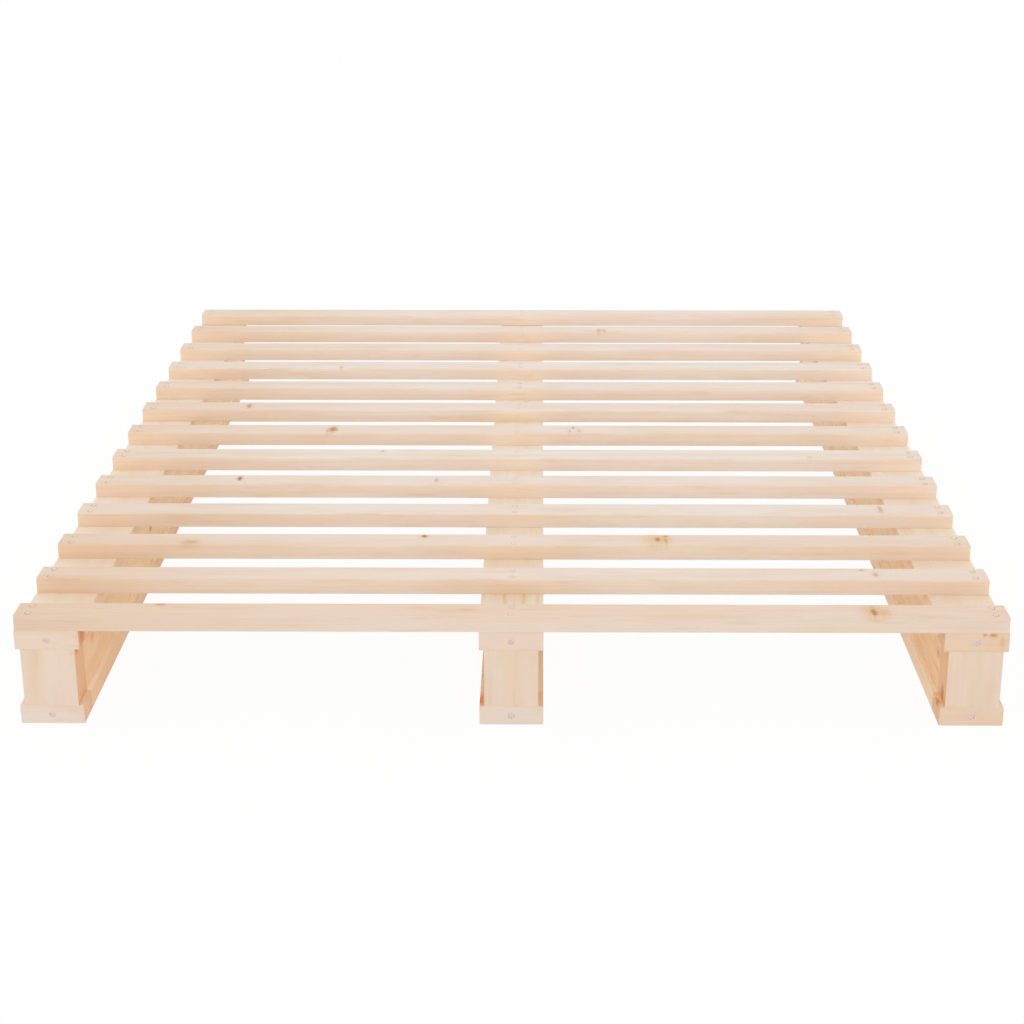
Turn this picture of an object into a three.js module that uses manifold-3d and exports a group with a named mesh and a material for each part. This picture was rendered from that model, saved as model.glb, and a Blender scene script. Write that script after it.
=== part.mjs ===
// A low slatted bed frame in solid pine: cross slats screwed down onto three lengthwise rails of I section,
// each rail closed at both ends by a bolted end frame of two blocks and an upright post.
// Millimetres, +Z up. X runs along the slats, Y from the foot end to the head end.
// The origin is on the floor under the middle of the frame.

import * as THREE from "three";
import { mergeVertices } from "three/addons/utils/BufferGeometryUtils.js";
import Module from "manifold-3d";

const wasm = await Module();
wasm.setup();

// Whole frame
const frameWidth = 2000; // over the outer faces of the outer rails
const frameLength = 2000; // over the outer faces of the end blocks
const seatGap = 0.3; // left between pieces that touch, and round each tongue, tenon and bolt

// Rail section
const flangeWidth = 130; // of the top and bottom boards and the end blocks
const boardThickness = 41; // of the same pieces
const recessHeight = 127; // clear height between the top and bottom boards
const recessDepth = 10; // posts and side boards stand this far in from the flange edges
const sideBoardThickness = 20;
const grooveDepth = 8; // of the grooves that hold the side boards' edges
const boardEase = 0.6; // chamfer on the boards', posts' and blocks' edges

// End frames
const endBlockDepth = 60; // along the rail
const tenonWidth = 60;
const tenonDepth = 24;
const tenonHeight = 12;

// End bolts, with low heads
const boltHeadDiameter = 13;
const boltHeadHeight = 5;
const boltHeadEase = 0.6;
const boltHeadSink = 1; // from the block's face down to the head's face
const boltShankDiameter = 8;
const boltShankLength = 95;
const boltTipLength = 5;
const boltTipDiameter = 4;
const socketAcrossFlats = 5;
const socketDepth = 3;

// Slats
const slatCount = 13;
const slatWidth = 56;
const slatThickness = 34;
const slatInset = 2; // the slat ends stop this far inside the rails' outer faces
const slatEdgeRadius = 3.5; // of the top edges
const slatUnderEase = 0.8; // chamfer on the edges of the underside and the ends

// Slat screws, which sit in the holes made here
const screwEndInset = 27; // from a slat's end to the outer screws
const screwRowSpacing = 30; // across the slat
const countersinkDiameter = 11.5;
const countersinkDepth = 4;
const screwHoleDiameter = 5;
const pilotDiameter = 3;
const pilotDepth = 13; // short of the end bolts, which cross under the middle screws

// Facets
const slatEdgeSteps = 4;
const boltSides = 16;
const screwSides = 8;
const pilotSides = 6;
const hexSides = 6;

// Cutting
const overrun = 5; // a cutter runs this far past the face that it opens
const weldDistance = 0.001;

// Worked-out sizes
const postWidth = flangeWidth - 2 * recessDepth;
const railHeight = 2 * boardThickness + recessHeight;
const topBoardLevel = boardThickness + recessHeight;
const boardLength = frameLength - 2 * (endBlockDepth + seatGap);
const sideBoardOffset = (postWidth - sideBoardThickness) / 2;
const sideBoardHeight = recessHeight + 2 * (grooveDepth - seatGap);
const slatLength = frameWidth - 2 * slatInset;
const slatPitch = (frameLength - slatWidth) / (slatCount - 1);
const outerRailOffset = (frameWidth - flangeWidth) / 2;
const outerScrewOffset = slatLength / 2 - screwEndInset;
const boltReach = boltHeadSink + boltHeadHeight + boltShankLength;

// How far each row of slat screws lies from the outer face of either end, slat by slat.
const screwRows = Array.from({ length: slatCount }, (_, slat) => slatWidth / 2 + slat * slatPitch).flatMap(
  (middle) => [middle - screwRowSpacing / 2, middle + screwRowSpacing / 2],
);

// Finishes: planed pine in three shades, and zinc-plated steel.
const pine = (color) => () =>
  new THREE.MeshStandardMaterial({ color, roughness: 0.62, metalness: 0, flatShading: true });
const palePine = pine(0xebdcd0);
const warmPine = pine(0xe0b58c);
const endPine = pine(0xe7d2c0);
const zincSteel = () =>
  new THREE.MeshStandardMaterial({ color: 0xc4bfc9, roughness: 0.4, metalness: 0.9, flatShading: true });

// A closed geometry as a solid: shared corners merged, triangles that collapse at a pole left out.
function toSolid(geometry) {
  const bare = geometry.index ? geometry.toNonIndexed() : geometry.clone();
  bare.deleteAttribute("normal");
  bare.deleteAttribute("uv");
  const merged = mergeVertices(bare, weldDistance);
  const corners = merged.index.array;
  const triVerts = [];
  for (let i = 0; i < corners.length; i += 3) {
    const [a, b, c] = corners.slice(i, i + 3);
    if (a !== b && b !== c && c !== a) triVerts.push(a, b, c);
  }
  return new wasm.Manifold(
    new wasm.Mesh({
      numProp: 3,
      vertProperties: merged.attributes.position.array,
      triVerts: new Uint32Array(triVerts),
    }),
  );
}

function toGeometry(solid) {
  const { vertProperties, triVerts, numProp } = solid.getMesh();
  const geometry = new THREE.BufferGeometry();
  geometry.setAttribute("position", new THREE.BufferAttribute(vertProperties, numProp));
  geometry.setIndex(new THREE.BufferAttribute(triVerts, 1));
  geometry.computeVertexNormals();
  return geometry;
}

// A body with its cutters taken out of it, or with its additions joined to it.
const cut = (body, cutters) =>
  toGeometry(cutters.reduce((solid, cutter) => solid.subtract(toSolid(cutter)), toSolid(body)));
const join = (body, additions) =>
  toGeometry(additions.reduce((solid, addition) => solid.add(toSolid(addition)), toSolid(body)));

// How a corner is turned: through a quarter circle in a number of steps, where a single step is a chamfer.
const roundedCorner = (radius, steps) => ({ radius, steps });
const chamferedCorner = (radius) => roundedCorner(radius, 1);

// A rectangle centred on X and standing on zero, with one kind of corner above and another below.
function easedRectangle(width, height, upper, lower) {
  const points = [];
  [upper, upper, lower, lower].forEach(({ radius, steps }, corner) => {
    const middleX = (corner === 0 || corner === 3 ? 1 : -1) * (width / 2 - radius);
    const middleY = corner < 2 ? height - radius : radius;
    for (let step = 0; step <= steps; step++) {
      const angle = ((corner + step / steps) * Math.PI) / 2;
      points.push(new THREE.Vector2(middleX + radius * Math.cos(angle), middleY + radius * Math.sin(angle)));
    }
  });
  return new THREE.Shape(points);
}

// The section of a board, post or block, chamfered on all four edges.
function boardSection(width, height) {
  const corner = chamferedCorner(boardEase);
  return easedRectangle(width, height, corner, corner);
}

// An outline in X and Z carried along Y from zero, with its end edges eased too where ease is over zero.
function alongY(outline, length, ease) {
  return new THREE.ExtrudeGeometry(outline, {
    depth: length - 2 * ease,
    bevelEnabled: ease > 0,
    bevelThickness: ease,
    bevelSize: ease,
    bevelOffset: -ease,
    bevelSegments: 1,
  })
    .rotateX(Math.PI / 2)
    .translate(0, length - ease, 0);
}

// A round body on the Z axis, from [radius, height] pairs, listed upwards, that start and end on the axis.
function turned(profile, sides) {
  const points = profile.map(([radius, height]) => new THREE.Vector2(radius, height));
  return new THREE.LatheGeometry(points, sides).rotateX(Math.PI / 2);
}

// Grooves along a board's inner face for the edges of both side boards. The face is at the given level, and the
// wood is on the given side of it: 1 above, -1 below.
function grooves(faceLevel, woodSide) {
  const height = grooveDepth + overrun;
  const middle = faceLevel + (woodSide * (grooveDepth - overrun)) / 2;
  return [-sideBoardOffset, sideBoardOffset].map((x) =>
    new THREE.BoxGeometry(sideBoardThickness + 2 * seatGap, boardLength + 2 * overrun, height).translate(x, 0, middle),
  );
}

// The stepped hole of an end bolt, running along Y from the end's outer face.
function boltHole() {
  const headRadius = boltHeadDiameter / 2 + seatGap;
  const shankRadius = boltShankDiameter / 2 + seatGap;
  const shoulder = -(boltHeadSink + boltHeadHeight + seatGap);
  const bottom = -(boltReach + seatGap);
  const profile = [
    [0, bottom],
    [shankRadius, bottom],
    [shankRadius, shoulder],
    [headRadius, shoulder],
    [headRadius, overrun],
    [0, overrun],
  ];
  return turned(profile, boltSides).rotateX(Math.PI / 2);
}

// A pilot hole for one slat screw, from the wood's top face at the given level down.
function pilotHole(x, y, topLevel) {
  const radius = pilotDiameter / 2;
  const profile = [
    [0, -pilotDepth],
    [radius, -pilotDepth],
    [radius, overrun],
    [0, overrun],
  ];
  return turned(profile, pilotSides).translate(x, y, topLevel);
}

// A countersunk hole right through a slat, on the Z axis.
function countersunkHole() {
  const headRadius = countersinkDiameter / 2;
  const holeRadius = screwHoleDiameter / 2;
  const profile = [
    [0, -overrun],
    [holeRadius, -overrun],
    [holeRadius, slatThickness - countersinkDepth],
    [headRadius, slatThickness],
    [headRadius, slatThickness + overrun],
    [0, slatThickness + overrun],
  ];
  return turned(profile, screwSides);
}

// A slat lies along X, centred, with two screw holes over each rail.
function slatGeometry() {
  const topCorner = roundedCorner(slatEdgeRadius, slatEdgeSteps);
  const section = easedRectangle(slatWidth, slatThickness, topCorner, chamferedCorner(slatUnderEase));
  const body = alongY(section, slatLength, slatUnderEase)
    .translate(0, -slatLength / 2, 0)
    .rotateZ(Math.PI / 2);
  const holes = [-outerScrewOffset, 0, outerScrewOffset].flatMap((x) =>
    [-screwRowSpacing / 2, screwRowSpacing / 2].map((y) => countersunkHole().translate(x, y, 0)),
  );
  return cut(body, holes);
}

// A top or bottom board lies along Y, centred, standing on zero: grooved on its inner face, bored at both ends for
// the end bolts, and on a top board drilled for the slat screws.
function boardGeometry(grooveLevel, woodSide, drilled) {
  const body = alongY(boardSection(flangeWidth, boardThickness), boardLength, 0).translate(0, -boardLength / 2, 0);
  const footHole = boltHole().translate(0, -frameLength / 2, boardThickness / 2);
  const headHole = boltHole().rotateZ(Math.PI).translate(0, frameLength / 2, boardThickness / 2);
  return cut(body, [...grooves(grooveLevel, woodSide), footHole, headHole, ...drilled]);
}

const bottomBoardGeometry = () => boardGeometry(boardThickness, -1, []);

function topBoardGeometry(screwX) {
  const pilots = screwRows.map((y) => pilotHole(screwX, y - frameLength / 2, boardThickness));
  return boardGeometry(0, 1, pilots);
}

// A side board stands on edge along Y, centred, standing on zero.
function sideBoardGeometry() {
  const section = boardSection(sideBoardThickness, sideBoardHeight);
  return alongY(section, boardLength, 0).translate(0, -boardLength / 2, 0);
}

// A post stands on zero with its outer face at y = 0, and has a stub tenon at each end.
function postGeometry() {
  const height = recessHeight - 2 * seatGap;
  const section = boardSection(postWidth, endBlockDepth);
  const body = new THREE.ExtrudeGeometry(section, { depth: height, bevelEnabled: false });
  const tenons = new THREE.BoxGeometry(tenonWidth, tenonDepth, height + 2 * tenonHeight);
  return join(body, [tenons.translate(0, endBlockDepth / 2, height / 2)]);
}

// An end block stands on zero with its outer face at y = 0: bored for its bolt, mortised for the post on the face
// at the given level, and on a top block drilled for the slat screws.
function endBlockGeometry(mortiseLevel, drilled) {
  const body = alongY(boardSection(flangeWidth, boardThickness), endBlockDepth, boardEase);
  const mortise = new THREE.BoxGeometry(
    tenonWidth + 2 * seatGap,
    tenonDepth + 2 * seatGap,
    2 * (tenonHeight + seatGap),
  ).translate(0, endBlockDepth / 2, mortiseLevel);
  return cut(body, [boltHole().translate(0, 0, boardThickness / 2), mortise, ...drilled]);
}

const bottomBlockGeometry = () => endBlockGeometry(boardThickness, []);

function topBlockGeometry(screwX) {
  const rows = screwRows.filter((y) => y < endBlockDepth);
  return endBlockGeometry(
    0,
    rows.map((y) => pilotHole(screwX, y, boardThickness)),
  );
}

// An end bolt lies along Y with the face of its head at y = 0.
function boltGeometry() {
  const headRadius = boltHeadDiameter / 2;
  const shankRadius = boltShankDiameter / 2;
  const shankEnd = -boltHeadHeight - boltShankLength;
  const profile = [
    [0, shankEnd],
    [boltTipDiameter / 2, shankEnd],
    [shankRadius, shankEnd + boltTipLength],
    [shankRadius, -boltHeadHeight],
    [headRadius, -boltHeadHeight],
    [headRadius, -boltHeadEase],
    [headRadius - boltHeadEase, 0],
    [0, 0],
  ];
  const socketRadius = socketAcrossFlats / 2 / Math.cos(Math.PI / hexSides);
  const socket = new THREE.CylinderGeometry(socketRadius, socketRadius, 2 * socketDepth, hexSides).rotateX(
    Math.PI / 2,
  );
  return cut(turned(profile, boltSides), [socket]).rotateX(Math.PI / 2);
}

function place(parent, name, geometry, material, x, y, z) {
  const mesh = new THREE.Mesh(geometry, material);
  mesh.name = name;
  mesh.position.set(x, y, z);
  parent.add(mesh);
}

// An end frame in its own group: outer face at y = 0, the rail behind it towards +Y.
function endFrame(name, screwX) {
  const end = new THREE.Group();
  place(end, `${name}_bottom_block`, bottomBlockGeometry(), endPine(), 0, 0, 0);
  place(end, `${name}_post`, postGeometry(), endPine(), 0, 0, boardThickness + seatGap);
  place(end, `${name}_top_block`, topBlockGeometry(screwX), endPine(), 0, 0, topBoardLevel);
  place(end, `${name}_bottom_bolt`, boltGeometry(), zincSteel(), 0, boltHeadSink, boardThickness / 2);
  place(end, `${name}_top_bolt`, boltGeometry(), zincSteel(), 0, boltHeadSink, topBoardLevel + boardThickness / 2);
  return end;
}

// A rail in its own group, centred: four long boards and an end frame at each end.
function rail(name, screwX) {
  const group = new THREE.Group();
  const sideBoardLevel = boardThickness - grooveDepth + seatGap;
  place(group, `${name}_bottom_board`, bottomBoardGeometry(), warmPine(), 0, 0, 0);
  place(group, `${name}_left_side_board`, sideBoardGeometry(), warmPine(), -sideBoardOffset, 0, sideBoardLevel);
  place(group, `${name}_right_side_board`, sideBoardGeometry(), warmPine(), sideBoardOffset, 0, sideBoardLevel);
  place(group, `${name}_top_board`, topBoardGeometry(screwX), warmPine(), 0, 0, topBoardLevel);
  const foot = endFrame(`${name}_foot`, screwX);
  foot.position.y = -frameLength / 2;
  const head = endFrame(`${name}_head`, -screwX);
  head.position.y = frameLength / 2;
  head.rotation.z = Math.PI;
  group.add(foot, head);
  return group;
}

const bedFrame = new THREE.Group();
bedFrame.name = "bed_frame";

const screwShift = outerRailOffset - outerScrewOffset;
const leftRail = rail("left_rail", screwShift);
leftRail.position.x = -outerRailOffset;
const centreRail = rail("centre_rail", 0);
const rightRail = rail("right_rail", -screwShift);
rightRail.position.x = outerRailOffset;
bedFrame.add(leftRail, centreRail, rightRail);

for (let slat = 0; slat < slatCount; slat++) {
  const name = `slat_${String(slat + 1).padStart(2, "0")}`;
  const y = (slat - (slatCount - 1) / 2) * slatPitch;
  place(bedFrame, name, slatGeometry(), palePine(), 0, y, railHeight + seatGap);
}

export default bedFrame;
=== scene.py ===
"""Looks of the slatted pine bed frame: its timber, screws and bolts, the light and the camera.

Metres, +Z up. X runs along the slats and Y from the foot end to the head end.
"""

import math
from itertools import product
from typing import NamedTuple

import bmesh
import bpy
import numpy as np
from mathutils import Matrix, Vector


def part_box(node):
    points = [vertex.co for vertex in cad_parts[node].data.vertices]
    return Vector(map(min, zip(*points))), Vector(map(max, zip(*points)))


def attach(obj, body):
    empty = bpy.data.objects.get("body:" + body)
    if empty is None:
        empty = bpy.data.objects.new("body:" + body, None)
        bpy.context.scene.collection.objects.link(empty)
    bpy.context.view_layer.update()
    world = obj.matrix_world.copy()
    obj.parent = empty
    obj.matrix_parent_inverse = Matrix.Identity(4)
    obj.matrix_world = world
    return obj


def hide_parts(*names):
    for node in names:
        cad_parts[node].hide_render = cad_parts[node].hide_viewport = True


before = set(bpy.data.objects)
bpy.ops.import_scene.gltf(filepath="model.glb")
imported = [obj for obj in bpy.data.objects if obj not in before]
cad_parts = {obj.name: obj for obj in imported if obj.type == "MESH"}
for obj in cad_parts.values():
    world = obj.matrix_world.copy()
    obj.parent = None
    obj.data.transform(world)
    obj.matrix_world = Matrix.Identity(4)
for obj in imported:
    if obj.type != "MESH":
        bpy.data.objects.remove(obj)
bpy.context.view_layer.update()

MM = 0.001
BODY = "root"
RAILS = ("left_rail", "centre_rail", "right_rail")
ENDS = {"foot": -1, "head": 1}  # with the way along Y that each end of a rail faces
SIDES = {"left": -1, "right": 1}  # with the way along X that each side of a rail faces
LEVELS = ("top", "bottom")
SLAT_COUNT = sum(1 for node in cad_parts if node.startswith("slat_"))

# Each piece of timber has a number, from which its figure follows. These are the first ones of each kind.
SLAT_SEED = 1
BLOCK_SEED = 21
SIDE_BOARD_SEED = 41
LONG_BOARD_SEED = 51
POST_SEED = 61


# Sizes that the record doesn't give, as the timber and the hardware have them

SLAT_EDGE_RADIUS = 3.5 * MM
SLAT_UNDER_RADIUS = 0.5 * MM
BOARD_EDGE_RADIUS = 0.4 * MM
BOARD_RADII = (BOARD_EDGE_RADIUS, BOARD_EDGE_RADIUS)
END_EDGE_RADIUS = 0.8 * MM
TENON_WIDTH = 60 * MM
TENON_DEPTH = 24 * MM
TIGHTER = 0.25 * MM  # the finished pieces take up this much of the gap at a joint

SCREW_END_INSET = 27 * MM
SCREW_ROW_SPACING = 30 * MM
SCREW_HEAD_RADIUS = 4.9 * MM
SCREW_NECK_RADIUS = 2.3 * MM
SCREW_HEAD_HEIGHT = 3.5 * MM
SCREW_HEAD_SINK = 0.5 * MM
SCREW_ROUNDING = 0.3 * MM
SCREW_TURN = 2.4  # radians from the cross of one screw to that of the next
CROSS_REACH = 2.2 * MM
CROSS_DEPTH = 1.4 * MM
CROSS_ARM_TURN = math.radians(15)  # from the middle of an arm to the corner at its end
CROSS_STEPS = ((1.0, 0.0), (0.80, 0.7), (0.35, 1.0))  # shares of the reach and the depth, on the way down

HOLE_RADIUS = 5.4 * MM
HOLE_EDGE = 0.3 * MM
HOLE_NECK_RADIUS = 2.5 * MM
HOLE_DEPTH = 4.2 * MM
HOLE_NECK_LENGTH = 2 * MM

BOLT_HEAD_RADIUS = 6.5 * MM
BOLT_HEAD_HEIGHT = 5 * MM
BOLT_UNDER_EDGE = (0.1 * MM, 0.2 * MM)  # how far in and up the edge under the head is broken
BOLT_ROUNDING = 0.6 * MM
ARC_MIDDLE_SHARE = 0.3  # of a rounding's radius, how far the middle of its arc is from both faces
BOLT_SHANK_RADIUS = 4 * MM
BOLT_TIP_RADIUS = 2 * MM
BOLT_TIP_LENGTH = 5 * MM
SOCKET_REACH = 2.5 * MM
SOCKET_DEPTH = 1.5 * MM
SOCKET_BEVEL = 0.3 * MM  # height of the chamfer at its mouth and of the cone in its floor
SOCKET_MOUTH_SHARE = 1.06
SOCKET_CONE_SHARE = 0.3
COUNTERBORE_RADIUS = 6.65 * MM
COUNTERBORE_DEPTH = 6.3 * MM

# Steps of the new surfaces
ARC_STEPS = 6
END_STEPS = 4
HOLE_CELLS = 8
FLAT_HOLD = 0.8 * MM
LEAST_RADIUS = 0.15 * MM
SCREW_SIDES = 24
BOLT_SIDES = 48
WELD = 0.001 * MM
CREASE_ANGLE = math.radians(38)


def set_camera():
    """The camera of the photograph, in front of the foot end and above the slats.

    Part of its view is shifted down and to the left instead of turned, so that the posts stay nearly upright
    and the slats nearly level.
    """
    sensor_width = 36.0
    picture_side = 1024
    focal_pixels = 1676
    data = bpy.data.cameras.new("camera")
    data.sensor_width = sensor_width
    data.lens = focal_pixels / picture_side * sensor_width
    data.shift_x = -0.02
    data.shift_y = -0.25
    data.clip_end = 200.0
    camera = bpy.data.objects.new("camera", data)
    camera.location = (0.0584, -4.0207, 1.8618)
    tilt_down = math.radians(16.03)
    turn_left = math.radians(0.293)
    camera.rotation_euler = (math.pi / 2 - tilt_down, 0.0, turn_left)
    bpy.context.scene.collection.objects.link(camera)
    bpy.context.scene.camera = camera


# Shader trees

class Value:
    """A number that varies over a surface. The usual operators on it add Math nodes to its tree."""

    def __init__(self, tree, socket):
        self.tree = tree
        self.socket = socket

    def __add__(self, other):
        return self.tree.math("ADD", self, other)

    __radd__ = __add__

    def __sub__(self, other):
        return self.tree.math("SUBTRACT", self, other)

    def __rsub__(self, other):
        return self.tree.math("SUBTRACT", other, self)

    def __mul__(self, other):
        return self.tree.math("MULTIPLY", self, other)

    __rmul__ = __mul__

    def __truediv__(self, other):
        return self.tree.math("DIVIDE", self, other)

    def __pow__(self, other):
        return self.tree.math("POWER", self, other)

    def __abs__(self):
        return self.tree.math("ABSOLUTE", self)

    def fraction(self):
        return self.tree.math("FRACT", self)

    def at_least(self, other):
        return self.tree.math("MAXIMUM", self, other)

    def at_most(self, other):
        return self.tree.math("MINIMUM", self, other)

    def step(self, low, high):
        """0 at low, 1 at high, smooth between them. It falls where low is the larger."""
        settings = {"interpolation_type": "SMOOTHSTEP"}
        ranged = self.tree.node("ShaderNodeMapRange", settings, {0: self, 1: low, 2: high, 3: 0.0, 4: 1.0})
        return Value(self.tree, ranged.outputs[0])


class Tree:
    """The node tree of a material or of the world."""

    def __init__(self, owner):
        self.owner = owner
        owner.use_nodes = True
        self.nodes = owner.node_tree.nodes
        self.links = owner.node_tree.links
        self.nodes.clear()

    def node(self, kind, settings=None, sockets=None):
        """Adds any node: its type, its settings, then the value or link of each socket by name or number. A
        colour's value is (red, green, blue)."""
        made = self.nodes.new(kind)
        for name, value in (settings or {}).items():
            setattr(made, name, value)
        for key, value in (sockets or {}).items():
            socket = made.inputs[key]
            source = value.socket if isinstance(value, Value) else value
            if isinstance(source, bpy.types.NodeSocket):
                self.links.new(source, socket)
            else:
                socket.default_value = (*source, 1.0) if socket.type == "RGBA" else source
        return made

    def math(self, operation, *terms):
        made = self.node("ShaderNodeMath", {"operation": operation}, dict(enumerate(terms)))
        return Value(self, made.outputs[0])

    def parts(self, vector):
        """The three components of a vector."""
        split = self.node("ShaderNodeSeparateXYZ", None, {0: vector})
        return [Value(self, output) for output in split.outputs]

    def noise(self, vector, scale, detail=2.0, roughness=0.5, output="Fac"):
        """Noise at a place, from 0 to 1, after the place is stretched by a scale on each axis."""
        stretched = self.node("ShaderNodeMapping", None, {"Vector": vector, "Scale": scale})
        sockets = {"Vector": stretched.outputs[0], "Scale": 1.0, "Detail": detail, "Roughness": roughness}
        return Value(self, self.node("ShaderNodeTexNoise", None, sockets).outputs[output])

    def mix(self, first, second, amount, blend="MIX"):
        """Colour mix of two colours by a factor."""
        settings = {"data_type": "RGBA", "blend_type": blend}
        return self.node("ShaderNodeMix", settings, {0: amount, 6: first, 7: second}).outputs[2]

    def bump(self, height, strength, distance):
        sockets = {"Height": height, "Strength": strength, "Distance": distance}
        return self.node("ShaderNodeBump", None, sockets).outputs[0]

    def surface(self, **sockets):
        """Principled surface; socket names are written with underscores."""
        named = {name.replace("_", " "): value for name, value in sockets.items()}
        shader = self.node("ShaderNodeBsdfPrincipled", None, named)
        self.node("ShaderNodeOutputMaterial", None, {"Surface": shader.outputs[0]})
        return self.owner


def grey(level):
    return (level, level, level)


def colour(red, green, blue):
    """A colour written as it shows on screen, from 0 to 255, as the linear one of the sRGB curve."""
    shown = np.array([red, green, blue]) / 255
    linear = np.where(shown <= 0.04045, shown / 12.92, ((shown + 0.055) / 1.055) ** 2.4)
    return tuple(map(float, linear))


# Pine

# Ground colours of planed pine, as they show on screen
WARM_CREAM = (237, 215, 196)
PALE_CREAM = (240, 230, 222)
END_CREAM = (227, 207, 189)
END_PALE = (227, 210, 197)
END_HONEY = (226, 200, 175)
END_STRAW = (228, 204, 183)
# The rails' inner sides carry painted warm bounce light, and the middle rail's sides painted shade; the outer
# sides' honey has neither. The top boards and ledges are paler with painted light where the slats shade them.
BOUNCE_LIT_HONEY = (244, 208, 167)
SHADED_CENTRE_HONEY = (230, 182, 140)
OUTER_HONEY = (228, 202, 176)
PAINTED_LIGHT_TOP_CREAM = (249, 231, 211)
PAINTED_LIGHT_LEDGE_CREAM = (255, 244, 226)

NO_SHADE = grey(1.0)

# What the features of the timber, and the painted light and shade, multiply its ground colour by
LATE_WOOD = (0.86, 0.71, 0.57)
ROSE_STREAK = (1.0, 0.95, 0.93)
STRAW_STREAK = (0.985, 0.975, 0.89)
FIBRE_SHADE = (0.88, 0.80, 0.72)
END_GRAIN = (0.97, 0.86, 0.74)
CLOUD_SHADE = (0.965, 0.94, 0.885)
RESIN_FLECK = (0.92, 0.83, 0.70)
# Painted light and shade on the slats: shade at their ends, warm bounce light on their fronts over the rails,
# and a shadow round each screw
PAINTED_END_SHADE = (0.96, 0.90, 0.83)
PAINTED_BOUNCE_FRONT = (1.0, 0.978, 0.95)
PAINTED_SCREW_SHADOW = (0.78, 0.66, 0.58)
# Painted light on the rails' shaded sides, top boards and corners, painted shade on the middle rail's ledges,
# and painted warm bounce light on the ledges inside the frame
PAINTED_SIDE_LIGHT = (1.10, 1.22, 1.34)
PAINTED_TOP_LIGHT = (1.05, 1.12, 1.18)
PAINTED_CORNER_LIGHT = (1.14, 1.13, 1.12)
PAINTED_CENTRE_LEDGE_SHADE = (0.97, 0.89, 0.85)
PAINTED_INNER_BOUNCE = (1.03, 1.0, 0.86)
ORANGE_SIDE = (1.08, 0.97, 0.86)
# On the frame's outer sides, which the light reaches openly, these take back part of the painted light and
# shade of the inner sides
OUTER_POST = (0.94, 1.09, 1.32)
OUTER_BLOCK = (1.0, 1.06, 1.15)
OUTER_FLANGE = (0.88, 0.92, 0.98)
OUTER_TOP = (0.82, 0.84, 0.88)

# Growth rings. In each, the late wood sets in slowly and ends at once.
RING_SPACING = 5.2 * MM
RING_CHANGE = 2.6  # by how many rings their spacing drifts
RING_CHANGE_RATE = 95.0
RING_SEED_STEP = 7.0
LEAST_RING = 0.25
LATE_RISE = (0.18, 0.86)
LATE_FALL = (1.0, 0.90)
RING_SWAY = 18 * MM
RING_RIPPLE = 2.4 * MM

# How many changes to a metre the noise behind each feature has, along and across the grain
SWAY_RATES = (1.1, 2.2)
RIPPLE_RATES = (6.0, 60.0)
ROSE_RATES = (1.6, 26.0)
STRAW_RATES = (2.6, 44.0)
FLECK_RATES = (9.0, 110.0)
FIBRE_RATES = (14.0, 900.0)
BLOTCH_RATES = (130.0, 130.0, 130.0)

# How far the number of a piece moves its noise along X, Y and Z
SEED_SHIFT = (1.7, 2.3, 1.0)

# The levels of that noise at which each feature begins and is full
ROSE_LEVELS = (0.42, 0.66)
STRAW_LEVELS = (0.46, 0.70)
CLOUD_LEVELS = (0.42, 0.72)
FLECK_LEVELS = (0.56, 0.74)
FIBRE_LEVELS = (0.5, 0.85)
FIBRE_DEPTH = 0.22  # how strongly the fibres show

# How squarely a face looks along an axis when its shade begins and is full
FACING_LEVELS = (0.45, 0.85)

# The planed surface: its roughness, and how much the fibres and the late wood change that and stand out
PLANED_ROUGHNESS = 0.56
FIBRE_ROUGHNESS = 0.16
LATE_ROUGHNESS = -0.05
FIBRE_RELIEF = 0.7
LATE_RELIEF = 0.3
RELIEF_HEIGHT = 0.25 * MM

# Knots. A pair of shares says where a part of the knot begins and is full, in radii of the knot. A full share
# alone is one of the knot's reach or of its halo.
KNOT_REACH = 16 * MM
KNOT_FULL_SHARE = 0.3
KNOT_BLOTCH = 1.4  # how uneven the knot's outline is
KNOT_PUSH = 1.6  # how far it pushes the growth rings, in its smaller radius
KNOT_PUSH_SHARES = (4.5, 0.0)
KNOT_WOOD_SHARES = (1.6, 0.5)
KNOT_HEART_SHARES = (1.0, 0.2)
HALO_BLOTCH = 0.7  # how uneven the halo's outline is
HALO_FULL_SHARE = 0.1


class Knot(NamedTuple):
    """A branch that comes out of a face along an axis and fades inwards over its reach.

    It is an oval, whose radii along and across the grain are in millimetres. So is its halo, which is how far
    the golden wood round it reaches. depth is how strong its colours are.
    """
    axis: str
    place: tuple
    along: float
    across: float
    halo: float
    depth: float
    tone: tuple
    reach: float = KNOT_REACH


class Figure(NamedTuple):
    """How strongly a piece of timber shows its growth rings, resin flecks and soft clouds, and how many
    clouds there are to a metre, along and across the grain."""
    rings: float
    flecks: float
    clouds: float
    cloud_rates: tuple = (5.0, 24.0)


# What the halo, the wood and the heart of a knot multiply the ground colour by
BROWN_KNOT = ((0.96, 0.80, 0.58), (0.83, 0.65, 0.48), (0.72, 0.56, 0.43))
RED_KNOT = ((0.98, 0.86, 0.72), (0.84, 0.58, 0.44), (0.64, 0.44, 0.37))
GREY_KNOT = ((0.98, 0.92, 0.82), (0.82, 0.74, 0.62), (0.72, 0.64, 0.54))
FOXY_KNOT = ((1.0, 0.93, 0.85), (0.99, 0.76, 0.58), (0.88, 0.66, 0.56))
ONION_KNOT = ((1.0, 0.97, 0.92), (0.88, 0.78, 0.62), (1.12, 1.22, 1.42))

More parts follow.
